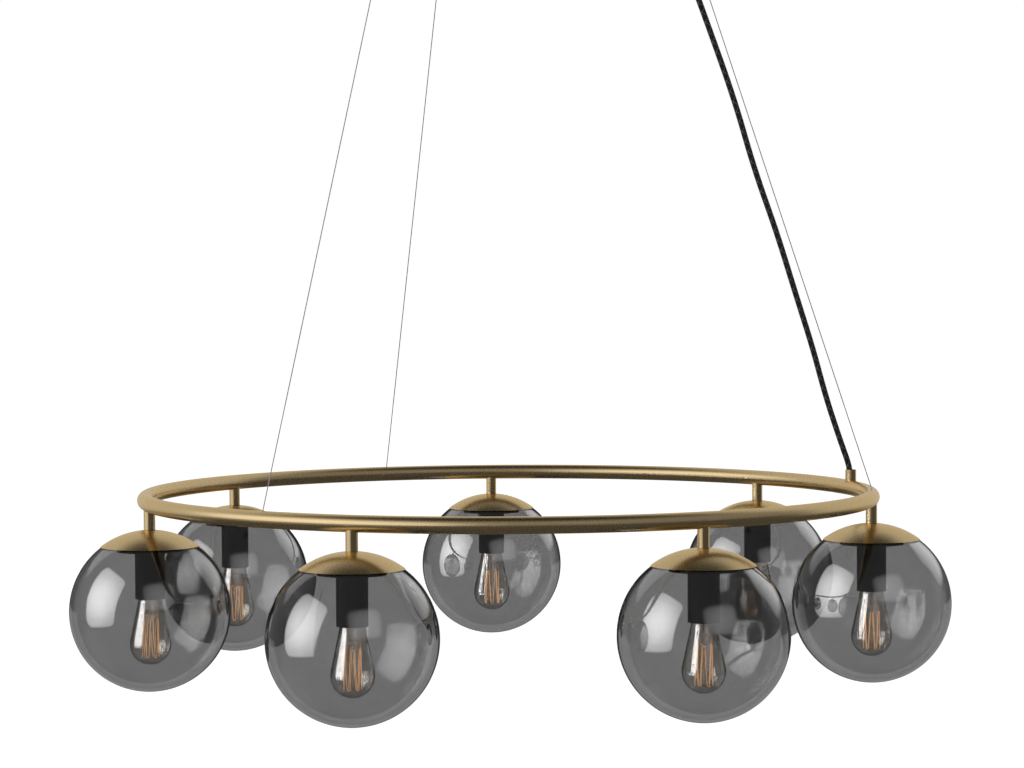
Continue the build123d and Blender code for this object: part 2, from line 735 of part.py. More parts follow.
wire_angles = angles(wire_count, first_wire_angle)
write("wire_ferrules", group([make_ferrule(angle) for angle in wire_angles]))
gripper = make_gripper()
plunger = make_plunger()
gripper_places = [around(angle, gripper_circle_radius) for angle in wire_angles]
write("wire_grippers", group([place * gripper for place in gripper_places]))
for number, angle in enumerate(wire_angles, start=1):
    wire, wire_length = make_wire(angle)
    write(f"suspension_wire_{number}", wire)
    write(f"gripper_plunger_{number}", around(angle, gripper_circle_radius) * plunger)
    print(f"suspension wire {number}: {wire_length:.0f} mm long, bend radius {wire_bend_radius:.0f} mm")

cable_corners = cable_points()
cable_radii = corner_radii(cable_corners)
cable, cable_length = cord(cable_corners, cable_radii, cable_diameter)
write("power_cable", cable)
section_area = math.pi * cable_diameter ** 2 / 4
print("power cable corner radii:", ", ".join(f"{radius:.0f}" for radius in cable_radii), "mm")
print(f"power cable: {cable_length:.0f} mm long, volume over section x length "
      f"{cable.volume / (section_area * cable_length):.4f}")

write("ceiling_plate", make_ceiling_plate())
write("canopy_cover", make_canopy_cover())
tab_angles = angles(tab_count, first_tab_angle)
clamp_screw = make_clamp_screw()
write("cover_screws", group([Rot(0, 0, angle) * clamp_screw for angle in tab_angles]))
write("cord_bush", make_cord_bush())
write("cable_clamp", make_cable_clamp())
write("terminal_block", make_terminal_block())
write("supply_leads", make_supply_leads())
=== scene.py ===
import math

import bpy
import numpy as np
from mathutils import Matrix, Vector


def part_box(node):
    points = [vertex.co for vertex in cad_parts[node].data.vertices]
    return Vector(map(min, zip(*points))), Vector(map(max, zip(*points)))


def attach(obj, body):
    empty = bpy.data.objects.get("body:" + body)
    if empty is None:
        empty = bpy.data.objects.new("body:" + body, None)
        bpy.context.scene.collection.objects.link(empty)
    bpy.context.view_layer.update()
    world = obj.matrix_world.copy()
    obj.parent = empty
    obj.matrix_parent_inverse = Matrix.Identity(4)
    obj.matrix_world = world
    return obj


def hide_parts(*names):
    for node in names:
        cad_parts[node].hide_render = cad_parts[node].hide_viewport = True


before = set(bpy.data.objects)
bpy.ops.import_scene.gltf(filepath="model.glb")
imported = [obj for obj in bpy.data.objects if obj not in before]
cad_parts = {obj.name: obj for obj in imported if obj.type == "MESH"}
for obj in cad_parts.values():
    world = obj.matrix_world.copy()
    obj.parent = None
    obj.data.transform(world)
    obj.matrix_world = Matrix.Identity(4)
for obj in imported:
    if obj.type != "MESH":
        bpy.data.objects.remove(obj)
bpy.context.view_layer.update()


# ---- Ring
# One hoop of round brass tube, bent in three lengths and welded, then brushed to a satin
# finish. It carries the seven lamps, and the whole lamp hangs on it.
ring_low, ring_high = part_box("ring_tube")
ring_height = (ring_low.z + ring_high.z) / 2


def shader_group(name, inputs, outputs):
    """Empty node group with float and vector inputs, each given as (name, type, value)."""
    group = bpy.data.node_groups.new(name, "ShaderNodeTree")
    for label, kind, value in inputs:
        socket = group.interface.new_socket(label, in_out="INPUT", socket_type=kind)
        if value is not None:
            socket.default_value = value
    for label, kind in outputs:
        group.interface.new_socket(label, in_out="OUTPUT", socket_type=kind)
    start = group.nodes.new("NodeGroupInput")
    end = group.nodes.new("NodeGroupOutput")
    return group, start, end


def maths(nodes, links, operation, first, second=None):
    """Math node, each input a socket or a number."""
    node = nodes.new("ShaderNodeMath")
    node.operation = operation
    for socket, value in zip(node.inputs, (first, second)):
        if isinstance(value, float):
            socket.default_value = value
        elif value is not None:
            links.new(value, socket)
    return node.outputs["Value"]


def group_math(group, operation, first, second=None):
    """Math node in a group, each input a socket or a number."""
    return maths(group.nodes, group.links, operation, first, second)


def make_grain_group():
    """Fine even grain of a worked surface, and its slow patches: two masks of about a half."""
    group, start, end = shader_group(
        "surface_grain",
        [
            ("Vector", "NodeSocketVector", None),
            ("Grain Scale", "NodeSocketFloat", 900.0),
            ("Patch Scale", "NodeSocketFloat", 14.0),
        ],
        [("Grain", "NodeSocketFloat"), ("Patches", "NodeSocketFloat")],
    )
    for label, output, detail in (("Grain Scale", "Grain", 2.0), ("Patch Scale", "Patches", 3.0)):
        noise = group.nodes.new("ShaderNodeTexNoise")
        noise.inputs["Detail"].default_value = detail
        group.links.new(start.outputs["Vector"], noise.inputs["Vector"])
        group.links.new(start.outputs[label], noise.inputs["Scale"])
        group.links.new(noise.outputs["Fac"], end.inputs[output])
    return group


surface_grain = make_grain_group()


def new_material(name):
    """Material with its Principled shader, its nodes and its links."""
    material = bpy.data.materials.new(name)
    material.use_nodes = True
    nodes = material.node_tree.nodes
    return material, nodes["Principled BSDF"], nodes, material.node_tree.links


def place_grain(nodes, links, grain_scale, patch_scale):
    """The grain group on Object coordinates."""
    place = nodes.new("ShaderNodeTexCoord")
    grain = nodes.new("ShaderNodeGroup")
    grain.node_tree = surface_grain
    grain.inputs["Grain Scale"].default_value = grain_scale
    grain.inputs["Patch Scale"].default_value = patch_scale
    links.new(place.outputs["Object"], grain.inputs["Vector"])
    return grain


noise_low, noise_high = 0.3, 0.7     # most of a noise mask lies between these


def spread_value(nodes, links, mask, low, high):
    """A mask, which is about a half, stretched to run from low to high."""
    stretch = nodes.new("ShaderNodeMapRange")
    stretch.inputs["From Min"].default_value = noise_low
    stretch.inputs["From Max"].default_value = noise_high
    stretch.inputs["To Min"].default_value = low
    stretch.inputs["To Max"].default_value = high
    links.new(mask, stretch.inputs["Value"])
    return stretch.outputs["Result"]


def colour_by(nodes, links, mask, first, second):
    """Colour between two, by a mask from nought to one."""
    mix = nodes.new("ShaderNodeMix")
    mix.data_type = "RGBA"
    mix.inputs["A"].default_value = (*first, 1.0)
    mix.inputs["B"].default_value = (*second, 1.0)
    links.new(mask, mix.inputs["Factor"])
    return mix.outputs["Result"]


def blend_colours(nodes, links, mask, first, second):
    """Colour between two, by a mask that is about a half."""
    return colour_by(nodes, links, spread_value(nodes, links, mask, 0.0, 1.0), first, second)


def bump(nodes, links, height, distance, shader):
    """Bump of a real depth in metres."""
    node = nodes.new("ShaderNodeBump")
    node.inputs["Strength"].default_value = 1.0
    node.inputs["Distance"].default_value = distance
    links.new(height, node.inputs["Height"])
    links.new(node.outputs["Normal"], shader.inputs["Normal"])


def grained(name, light, dark, metallic, smooth, rough, grain_scale, patch_scale, depth):
    """Solid finish: two near tones in patches, roughness and bump from the grain."""
    material, shader, nodes, links = new_material(name)
    grain = place_grain(nodes, links, grain_scale, patch_scale)
    shader.inputs["Metallic"].default_value = metallic
    tone = blend_colours(nodes, links, grain.outputs["Patches"], light, dark)
    links.new(tone, shader.inputs["Base Color"])
    roughness = spread_value(nodes, links, grain.outputs["Grain"], smooth, rough)
    links.new(roughness, shader.inputs["Roughness"])
    bump(nodes, links, grain.outputs["Grain"], depth, shader)
    return material


brass_light = (0.60, 0.462, 0.262)
brass_dark = (0.54, 0.408, 0.222)
brass_edge = (1.0, 0.88, 0.66, 1.0)
satin_smooth, satin_rough = 0.24, 0.32
satin_grain_scale = 900.0
satin_patch_scale = 14.0
brush_lines = 450.0                  # in each radian of the ring
brush_depth = 0.00006


def satin(name, smooth=satin_smooth, rough=satin_rough):
    """Satin brass: warm at its grazing edges too, with a grain too fine to be seen singly."""
    material = grained(
        name,
        light=brass_light,
        dark=brass_dark,
        metallic=1.0,
        smooth=smooth,
        rough=rough,
        grain_scale=satin_grain_scale,
        patch_scale=satin_patch_scale,
        depth=0.00002,
    )
    material.node_tree.nodes["Principled BSDF"].inputs["Specular Tint"].default_value = brass_edge
    return material


def make_brush_group():
    """Lines brushed round a hoop's tube: a mask that changes only with the turn round Z."""
    group, start, end = shader_group(
        "brushed_lines",
        [("Vector", "NodeSocketVector", None), ("Lines", "NodeSocketFloat", brush_lines)],
        [("Mask", "NodeSocketFloat")],
    )
    axes = group.nodes.new("ShaderNodeSeparateXYZ")
    noise = group.nodes.new("ShaderNodeTexNoise")
    noise.noise_dimensions = "1D"
    noise.inputs["Detail"].default_value = 3.0
    group.links.new(start.outputs["Vector"], axes.inputs["Vector"])
    turn = group_math(group, "ARCTAN2", axes.outputs["Y"], axes.outputs["X"])
    group.links.new(turn, noise.inputs["W"])
    group.links.new(start.outputs["Lines"], noise.inputs["Scale"])
    group.links.new(noise.outputs["Fac"], end.inputs["Mask"])
    return group


def make_brushed_brass():
    """The satin brass with lines brushed round the tube in place of its patches and grain."""
    material, shader, nodes, links = new_material("brushed_brass")
    shader.inputs["Metallic"].default_value = 1.0
    shader.inputs["Specular Tint"].default_value = brass_edge
    grain = place_grain(nodes, links, satin_grain_scale, satin_patch_scale)
    roughness = spread_value(nodes, links, grain.outputs["Grain"], satin_smooth, satin_rough)
    links.new(roughness, shader.inputs["Roughness"])
    place = nodes.new("ShaderNodeTexCoord")
    brush = nodes.new("ShaderNodeGroup")
    brush.node_tree = make_brush_group()
    brush.inputs["Lines"].default_value = brush_lines
    links.new(place.outputs["Object"], brush.inputs["Vector"])
    tone = blend_colours(nodes, links, brush.outputs["Mask"], brass_light, brass_dark)
    links.new(tone, shader.inputs["Base Color"])
    bump(nodes, links, brush.outputs["Mask"], brush_depth, shader)
    return material


satin_brass = satin("satin_brass")


def coat_node(name, material):
    """Gives a piece of the frame its finish."""
    for material_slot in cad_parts[name].material_slots:
        material_slot.material = material


coat_node("ring_tube", make_brushed_brass())


# ---- Stems and caps
# Seven turned brass stems screwed up against the ring, and under each a spun brass cap that
# lies on the crown of its globe. The caps have the ring's satin finish, the stems a finer one.
lamp_numbers = range(1, 8)

turned_brass = satin("turned_brass", smooth=0.15, rough=0.20)
coat_node("stems", turned_brass)
for number in lamp_numbers:
    coat_node(f"cap_{number}", satin_brass)


# ---- Carriers and lampholders
# Black moulded plastic: a dish under each cap, whose lugs hold the globe, and the plain
# sleeve of the lampholder with its insulating insert. Moulded matt, with a very fine grain.
black_plastic = grained(
    "black_plastic",
    light=(0.042, 0.042, 0.042),
    dark=(0.034, 0.034, 0.034),
    metallic=0.0,
    smooth=0.45,
    rough=0.60,
    grain_scale=1400.0,
    patch_scale=20.0,
    depth=0.00004,
)
coat_node("globe_carriers", black_plastic)
for number in lamp_numbers:
    coat_node(f"lampholder_{number}", black_plastic)


# ---- Globes
# Mouth-blown spheres of smoke-grey glass, 3 mm thick. Their walls are even, and only slow
# waves of the blown surface show.
rim_share = 0.08                     # of the wall's light, where a ray runs along it
rim_start, rim_full = 0.66, 0.82     # how far the wall is turned away, from nought to one


def glass(name, tint, wall_share, ior, film, film_ior, wave_scale, wave_depth):
    """Clear glass of a real wall: refracts what is seen through it, is darker at its very rim,
    where a ray runs along the wall, and lets the lamps' light through for shadow rays."""
    material, shader, nodes, links = new_material(name)
    slant = nodes.new("ShaderNodeLayerWeight")
    slant.inputs["Blend"].default_value = 0.5
    along = nodes.new("ShaderNodeMapRange")
    along.interpolation_type = "SMOOTHSTEP"
    along.inputs["From Min"].default_value = rim_start
    along.inputs["From Max"].default_value = rim_full
    links.new(slant.outputs["Facing"], along.inputs["Value"])
    rim_tint = tuple(rim_share * part for part in tint)
    tone = colour_by(nodes, links, along.outputs["Result"], tint, rim_tint)
    links.new(tone, shader.inputs["Base Color"])
    shader.inputs["Roughness"].default_value = 0.0
    shader.inputs["IOR"].default_value = ior
    shader.inputs["Transmission Weight"].default_value = 1.0
    shader.inputs["Coat Weight"].default_value = film
    shader.inputs["Coat IOR"].default_value = film_ior
    shader.inputs["Coat Roughness"].default_value = 0.0
    place = nodes.new("ShaderNodeTexCoord")
    waves = nodes.new("ShaderNodeTexNoise")
    waves.inputs["Scale"].default_value = wave_scale
    waves.inputs["Detail"].default_value = 1.0
    links.new(place.outputs["Object"], waves.inputs["Vector"])
    bump(nodes, links, waves.outputs["Fac"], wave_depth, shader)
    path = nodes.new("ShaderNodeLightPath")
    clear = nodes.new("ShaderNodeBsdfTransparent")
    clear.inputs["Color"].default_value = (*wall_share, 1.0)
    mix = nodes.new("ShaderNodeMixShader")
    links.new(path.outputs["Is Shadow Ray"], mix.inputs["Fac"])
    links.new(shader.outputs["BSDF"], mix.inputs[1])
    links.new(clear.outputs["BSDF"], mix.inputs[2])
    links.new(mix.outputs["Shader"], nodes["Material Output"].inputs["Surface"])
    return material


smoke_glass = glass(
    "smoke_glass",
    tint=(0.395, 0.395, 0.395),
    wall_share=(0.37, 0.37, 0.37),
    ior=1.52,
    film=0.0,
    film_ior=1.5,
    wave_scale=25.0,
    wave_depth=0.00005,
)
for number in lamp_numbers:
    coat_node(f"globe_{number}", smoke_glass)


# ---- Bulbs
# Clear pear-shaped glass on a nickelled screw base. A glass rod inside carries a cage of
# filament, which is lit dimly enough to be seen as golden threads.
bulb_clear = glass(
    "bulb_clear",
    tint=(0.95, 0.92, 0.88),
    wall_share=(0.95, 0.93, 0.90),
    ior=1.5,
    film=1.0,
    film_ior=2.0,
    wave_scale=60.0,
    wave_depth=0.00002,
)
nickel = grained(
    "nickel",
    light=(0.62, 0.60, 0.56),
    dark=(0.54, 0.52, 0.48),
    metallic=1.0,
    smooth=0.22,
    rough=0.34,
    grain_scale=1200.0,
    patch_scale=40.0,
    depth=0.00002,
)
for number in lamp_numbers:
    coat_node(f"bulb_glass_{number}", bulb_clear)

thread_pitch = 0.0036
thread_depth = 0.0010
thread_turns = 5
collar_height = 0.0035
base_radius = 0.0132
base_inner_radius = 0.0125
neck_length = 0.0060
insulator_height = 0.0040
contact_radius = 0.0048
base_sides = 48
thread_rows = 61
sharp_angle = math.radians(42.0)     # faces that meet more steeply keep a sharp edge
insulator_black = grained(
    "insulator_black",
    light=(0.020, 0.018, 0.016),
    dark=(0.012, 0.011, 0.010),
    metallic=0.0,
    smooth=0.10,
    rough=0.20,
    grain_scale=900.0,
    patch_scale=60.0,
    depth=0.00003,
)


def skin(name, rings, foot, head, lengths, materials, row_slots=None):
    """Closed surface over rows of rings, from a pole at the foot to one at the head.

    Neighbouring rings are joined by quads, and the first and last ring to their poles by
    triangles. The map runs once round each ring, and from row to row by the lengths given.
    """
    rows, sides = rings.shape[:2]
    places = np.vstack([rings.reshape(-1, 3), [foot], [head]])
    faces, spots, slots = [], [], []
    for side in range(sides):
        following = (side + 1) % sides
        start, end = side / sides, (side + 1) / sides
        middle = (start + end) / 2
        faces.append((rows * sides, following, side))
        spots += [(middle, lengths[0]), (end, lengths[0]), (start, lengths[0])]
        last = (rows - 1) * sides
        faces.append((rows * sides + 1, last + side, last + following))
        spots += [(middle, lengths[-1]), (start, lengths[-1]), (end, lengths[-1])]
    slots += [row_slots[0] if row_slots else 0, row_slots[-1] if row_slots else 0] * sides
    for row in range(rows - 1):
        low, high = row * sides, (row + 1) * sides
        for side in range(sides):
            following = (side + 1) % sides
            start, end = side / sides, (side + 1) / sides
            faces.append((low + side, low + following, high + following, high + side))
            spots += [(start, lengths[row]), (end, lengths[row])]
            spots += [(end, lengths[row + 1]), (start, lengths[row + 1])]
        slots += [row_slots[row] if row_slots else 0] * sides
    mesh = bpy.data.meshes.new(name)
    mesh.from_pydata(places.tolist(), [], faces)
    spots = np.array(spots, dtype=np.float32).ravel()
    mesh.uv_layers.new(name="map").data.foreach_set("uv", spots)
    for material in materials:
        mesh.materials.append(material)
    mesh.polygons.foreach_set("material_index", np.array(slots, dtype=np.int32))
    mesh.polygons.foreach_set("use_smooth", np.ones(len(faces), dtype=bool))
    mesh.set_sharp_from_angle(angle=sharp_angle)
    piece = bpy.data.objects.new(name, mesh)
    bpy.context.scene.collection.objects.link(piece)
    return piece


def turned_rings(radii, heights, sides, place, axis=(0.0, 0.0, 1.0), side=(1.0, 0.0, 0.0)):
    """Rings round an axis through a place. A radius is one number a row, or one for each side."""
    turn = np.linspace(0.0, 2.0 * np.pi, sides, endpoint=False)
    other = np.cross(axis, side)
    ways = np.cos(turn)[:, None] * np.array(side) + np.sin(turn)[:, None] * other
    radii = np.array(radii)
    if radii.ndim == 1:
        radii = np.repeat(radii[:, None], sides, axis=1)
    lifts = np.array(heights)[:, None] * np.array(axis)
    return np.array(place) + lifts[:, None, :] + radii[:, :, None] * ways[None, :, :]


def screw_base(name, place, height):
    """Lamp base about an upright axis, from its open foot to its contact.

    The thread is a rounded ridge that climbs by its pitch in one turn: the radius is the root
    plus half the depth times one plus the cosine of the height over the pitch less the turn.
    """
    thread_top = collar_height + thread_pitch * thread_turns
    climb = np.linspace(collar_height, thread_top, thread_rows)
    turn = np.linspace(0.0, 1.0, base_sides, endpoint=False)
    root = base_radius - thread_depth
    wave = 0.5 + 0.5 * np.cos(2.0 * np.pi * (climb[:, None] / thread_pitch - turn[None, :]))
    to_end = np.minimum(climb - collar_height, thread_top - climb)
    fade = np.clip(to_end / (thread_pitch / 2), 0.0, 1.0)
    ridge = root + thread_depth * wave * fade[:, None]
    before = [(base_inner_radius, neck_length), (base_inner_radius, 0.0)]
    before += [(base_radius - 0.0003, 0.0), (base_radius, 0.0003)]
    before += [(base_radius, collar_height - 0.0010), (root, collar_height - 0.0001)]
    insulator_top = thread_top + insulator_height
    after = [(root, thread_top + 0.0001), (root - 0.0012, thread_top + 0.0008)]
    after += [(contact_radius + 0.0006, insulator_top - 0.0002), (contact_radius, insulator_top)]
    after += [(contact_radius, height - 0.0006), (contact_radius - 0.0008, height)]
    radii = [np.full(base_sides, radius) for radius, lift in before]
    radii += list(ridge)
    radii += [np.full(base_sides, radius) for radius, lift in after]
    heights = [lift for radius, lift in before] + list(climb) + [lift for radius, lift in after]
    slots = [0] * (len(heights) - 6) + [0, 1, 1, 0, 0, 0]
    rings = turned_rings(radii, heights, base_sides, place)
    foot = (place[0], place[1], place[2] + neck_length)
    head = (place[0], place[1], place[2] + height)
    return skin(name, rings, foot, head, heights, [nickel, insulator_black], slots)


filament_foot_lift = 0.0120          # above the bulb's tip
filament_length = 0.0580
filament_cage_radius = 0.0130
filament_hooks = 6
filament_thickness = 0.0009
hook_half_turn = math.radians(8.0)
hook_depth = 0.0022
spoke_radius = 0.00025
spoke_reach = 0.97 * filament_cage_radius
stem_sides = 32


def carried_sides(line):
    """Two directions square to a line at each of its points, carried along it without twist."""
    runs = np.gradient(line, axis=0)
    runs /= np.linalg.norm(runs, axis=1, keepdims=True)
    across = np.cross(runs[0], (0.0, 1.0, 0.0) if abs(runs[0][1]) < 0.9 else (1.0, 0.0, 0.0))
    sides = []
    for run in runs:
        across = across - run * np.dot(across, run)
        across = across / np.linalg.norm(across)
        sides.append(across)
    sides = np.array(sides)
    return sides, np.cross(runs, sides)


def tube(name, line, thickness, sides, material):
    """Round tube along a line, closed at both ends.

    Each point of a ring is the line's point plus the radius times the cosine of its angle to
    one side and its sine to the other. The map runs once round and, along it, in metres.
    """
    line = np.array(line)
    across, upward = carried_sides(line)
    turn = np.linspace(0.0, 2.0 * np.pi, sides, endpoint=False)
    ways = np.cos(turn)[None, :, None] * across[:, None, :]
    ways = ways + np.sin(turn)[None, :, None] * upward[:, None, :]
    rings = line[:, None, :] + thickness / 2 * ways
    steps = np.linalg.norm(np.diff(line, axis=0), axis=1)
    lengths = np.concatenate([[0.0], np.cumsum(steps)])
    return skin(name, rings, line[0], line[-1], lengths, [material])


def spline_points(points, steps):
    """Points along the smooth spline that a route's points pull, in even steps of each run."""
    guide = curve_object("route_guide", points, 0.0, None)
    guide.data.resolution_u = steps
    mesh = bpy.data.meshes.new_from_object(guide)
    line = np.empty(3 * len(mesh.vertices), dtype=np.float32)
    mesh.vertices.foreach_get("co", line)
    bpy.data.meshes.remove(mesh)
    curve = guide.data
    bpy.data.objects.remove(guide)
    bpy.data.curves.remove(curve)
    return line.reshape(-1, 3).astype(float)


def curve_object(name, points, thickness, material):
    """Round cord as one smooth open spline through the route that its points pull."""
    curve = bpy.data.curves.new(name, "CURVE")
    curve.dimensions = "3D"
    curve.bevel_depth = thickness / 2
    curve.bevel_resolution = 4
    curve.resolution_u = 12
    curve.use_fill_caps = True
    spline = curve.splines.new("NURBS")
    spline.points.add(len(points) - 1)
    for point, place in zip(spline.points, points):
        point.co = (*place, 1.0)
    spline.order_u = 3
    spline.use_endpoint_u = True
    if material:
        curve.materials.append(material)
    piece = bpy.data.objects.new(name, curve)
    bpy.context.scene.collection.objects.link(piece)
    return piece


def hook_places(middle, tip_height, first_turn):
    """Middles of the cage's hooks: one at the foot, then one at the top half a pitch on."""
    places = []
    for step in range(2 * filament_hooks):
        turn = first_turn + math.pi * step / filament_hooks
        lift = filament_foot_lift + (filament_length if step % 2 else 0.0)
        places.append((turn, np.array([*middle, tip_height + lift])))
    return places


def thread_route(places):
    """The thread's route: up or down to a hook, over it by its half width each way, and back."""
    route = []
    for step, (turn, centre) in enumerate(places):
        inwards = -hook_depth if step % 2 else hook_depth
        for share, lift in ((-1.0, inwards), (-1.0, 0.0), (1.0, 0.0), (1.0, inwards)):
            angle = turn + share * hook_half_turn
            way = np.array([math.cos(angle), math.sin(angle), 0.0])
            route.append(centre + filament_cage_radius * way + np.array([0.0, 0.0, lift]))
    return route


dim_share = 0.75                     # of the thread's glow, where it is dimmest


def glowing_material(name, metal, glow, level):
    """Hot thread: its own metal with a steady glow, uneven by a fine grain."""
    material, shader, nodes, links = new_material(name)
    grain = place_grain(nodes, links, 1500.0, 160.0)
    shader.inputs["Base Color"].default_value = (*metal, 1.0)
    shader.inputs["Metallic"].default_value = 1.0
    shader.inputs["Roughness"].default_value = 0.4
    dim_glow = tuple(dim_share * part for part in glow)
    glow_tone = blend_colours(nodes, links, grain.outputs["Patches"], glow, dim_glow)
    links.new(glow_tone, shader.inputs["Emission Color"])
    shader.inputs["Emission Strength"].default_value = level
    material.cycles.emission_sampling = "NONE"
    return material


filament_gold = glowing_material("filament_gold", (0.72, 0.46, 0.22), (1.0, 0.56, 0.24), 1.6)
stem_glass = glass(
    "stem_glass",
    tint=(0.97, 0.96, 0.94),
    wall_share=(0.97, 0.96, 0.94),
    ior=1.5,
    film=0.0,
    film_ior=1.5,
    wave_scale=80.0,
    wave_depth=0.00001,
)


def glass_stem(name, middle, tip_height, foot_height):
    """Turned glass rod: a button at each row of spokes, and a flare up into the bulb's neck."""
    low = filament_foot_lift
    high = filament_foot_lift + filament_length
    neck = foot_height - tip_height
    foot_button = [(0.0008, -0.0020), (0.0019, -0.0012), (0.0022, 0.0), (0.0018, 0.0012)]
    foot_button += [(0.0013, 0.0022)]
    head_button = [(0.0013, -0.0022), (0.0020, -0.0010), (0.0023, 0.0), (0.0020, 0.0010)]
    head_button += [(0.0014, 0.0022)]
    flare = [(0.0015, -0.0200), (0.0026, -0.0120), (0.0046, -0.0060), (0.0078, -0.0010)]
    flare += [(0.0100, 0.0030), (0.0098, 0.0034)]
    outline = []
    for form, start in ((foot_button, low), (head_button, high), (flare, neck)):
        outline += [(radius, start + lift) for radius, lift in form]
    radii = [radius for radius, lift in outline]
    lifts = [lift for radius, lift in outline]
    place = (middle[0], middle[1], tip_height)
    rings = turned_rings(radii, lifts, stem_sides, place)
    foot = (place[0], place[1], tip_height + lifts[0] - 0.0003)
    head = (place[0], place[1], tip_height + lifts[-1])
    return skin(name, rings, foot, head, lifts, [stem_glass])


def spokes(name, places):
    """Wire arms from the rod's two buttons out to the hooks, each a thin tube, as one piece."""
    arms = []
    for index, (turn, start) in enumerate(places):
        way = np.array([math.cos(turn), math.sin(turn), 0.0])
        end = start + spoke_reach * way
        line = [start, (start + end) / 2, end]
        arms.append(tube(f"{name}_arm_{index}", line, 2 * spoke_radius, 8, nickel))
    return joined(name, arms)


def joined(name, parts):
    """Several small pieces made into one."""
    with bpy.context.temp_override(active_object=parts[0], selected_editable_objects=parts):
        bpy.ops.object.join()
    parts[0].name = name
    parts[0].data.name = name
    return parts[0]


for number in lamp_numbers:
    glass_low, glass_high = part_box(f"bulb_glass_{number}")
    middle = ((glass_low.x + glass_high.x) / 2, (glass_low.y + glass_high.y) / 2)
    foot_height = glass_high.z - neck_length
    base_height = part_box(f"bulb_base_{number}")[1].z - foot_height
    places = hook_places(middle, glass_low.z, math.atan2(middle[1], middle[0]))
    screw = screw_base(f"bulb_screw_{number}", (*middle, foot_height), base_height)
    stem = glass_stem(f"bulb_stem_{number}", middle, glass_low.z, foot_height)
    arms = spokes(f"bulb_spokes_{number}", places)
    thread_line = spline_points(thread_route(places), 5)
    thread = tube(f"bulb_filament_{number}", thread_line, filament_thickness, 8, filament_gold)
    slots = {screw: "nickel", stem: "bulb_glass", arms: "nickel", thread: "filament_metal"}
    for piece, slot in slots.items():
        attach(piece, f"bulb_{number}")
    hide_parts(f"bulb_base_{number}")


# ---- Suspension wires
# Three steel wire ropes, 1.5 mm thick. Each runs upright out of its gripper under the ceiling
# plate, turns outwards and goes straight down into the ring, where a ferrule stops it.
def wrap_count(group, start, count, lay):
    """Number of strands passed at a place of a tube's map: round it, and along it by the lay."""
    axes = group.nodes.new("ShaderNodeSeparateXYZ")
    group.links.new(start.outputs["Vector"], axes.inputs["Vector"])
    around = group_math(group, "MULTIPLY", axes.outputs["X"], float(count))
    along = group_math(group, "MULTIPLY", axes.outputs["Y"], count / lay)
    return around, along


def strand_height(group, passed):
    """Height of round strands side by side: the sine of each, without its sign."""
    sine = group_math(group, "SINE", group_math(group, "MULTIPLY", passed, math.pi))
    return group_math(group, "ABSOLUTE", sine)


rope_strands = 7
rope_lay = 0.011                     # length of one whole turn of a strand


def make_rope_group():
    """Height of a rope's round strands, which all wind one way."""
    group, start, end = shader_group(
        "rope_lay", [("Vector", "NodeSocketVector", None)], [("Height", "NodeSocketFloat")]
    )
    around, along = wrap_count(group, start, rope_strands, rope_lay)
    passed = group_math(group, "ADD", around, along)
    group.links.new(strand_height(group, passed), end.inputs["Height"])
    return group


def mapped_group(nodes, links, group):
    """A node group on the piece's own map."""
    place = nodes.new("ShaderNodeUVMap")
    place.uv_map = "map"
    node = nodes.new("ShaderNodeGroup")
    node.node_tree = group
    links.new(place.outputs["UV"], node.inputs["Vector"])
    return node


strand_crest = (0.56, 0.56, 0.56)
# The valleys' dark colour is painted shade between the strands; the steel itself is one tone.
valley_painted_shade = (0.13, 0.13, 0.13)


def make_wire_steel():
    """Bright steel strands, with painted shade in the valleys between them."""
    material, shader, nodes, links = new_material("wire_steel")
    lay = mapped_group(nodes, links, make_rope_group())
    tone = colour_by(nodes, links, lay.outputs["Height"], valley_painted_shade, strand_crest)
    links.new(tone, shader.inputs["Base Color"])
    shader.inputs["Metallic"].default_value = 1.0
    grain = place_grain(nodes, links, 2500.0, 300.0)
    roughness = spread_value(nodes, links, grain.outputs["Grain"], 0.30, 0.50)
    links.new(roughness, shader.inputs["Roughness"])
    bump(nodes, links, lay.outputs["Height"], 0.0002, shader)
    return material


wire_steel = make_wire_steel()
wire_diameter = 0.0015
wire_angles = [math.radians(-7.8 + 120.0 * index) for index in range(3)]
wire_route = [                       # distance out from the middle, and height
    (0.120, -0.016),
    (0.120, -0.045),
    (0.120, -0.054),
    (0.1228, -0.06255),
    (0.58055, -1.45919),
    (0.58343, -1.46795),
]


def out_at(angle, distance, height, aside=0.0):
    """Point at a distance out from the middle in one direction, shifted aside."""
    x = distance * math.cos(angle) - aside * math.sin(angle)
    y = distance * math.sin(angle) + aside * math.cos(angle)
    return (x, y, height)


for number, angle in enumerate(wire_angles, start=1):
    line = spline_points([out_at(angle, distance, height) for distance, height in wire_route], 60)
    wire = tube(f"wire_rope_{number}", line, wire_diameter, 16, wire_steel)
    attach(wire, "frame")
    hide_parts(f"suspension_wire_{number}")


# ---- Power cable
# Three cores in a round black textile braid, 9.5 mm thick. It stands up out of the gland on
# the ring, hangs slackly beside the right-hand wire and goes up into the canopy.
cable_angle = math.radians(12.8)
cable_diameter = 0.0095
cable_route = [                      # distance out, shift aside, height above the ring's middle
    (0.5800, 0.000, 0.0080),
    (0.5800, 0.000, 0.0300),
    (0.5630, 0.001, 0.0760),
    (0.5380, 0.003, 0.1500),
    (0.5150, 0.002, 0.2320),
    (0.4845, -0.002, 0.3200),
    (0.4520, -0.004, 0.4200),
    (0.4140, -0.001, 0.5250),
    (0.3825, 0.003, 0.6360),
    (0.3400, 0.004, 0.7520),
    (0.2940, 0.001, 0.8700),
    (0.2500, -0.003, 0.9900),
    (0.2020, -0.004, 1.1120),
    (0.1520, -0.001, 1.2360),
    (0.1180, 0.000, 1.35035),
    (0.1180, 0.000, 1.4560),
]
cable_points = [
    out_at(cable_angle, distance, ring_height + height, aside)
    for distance, aside, height in cable_route
]
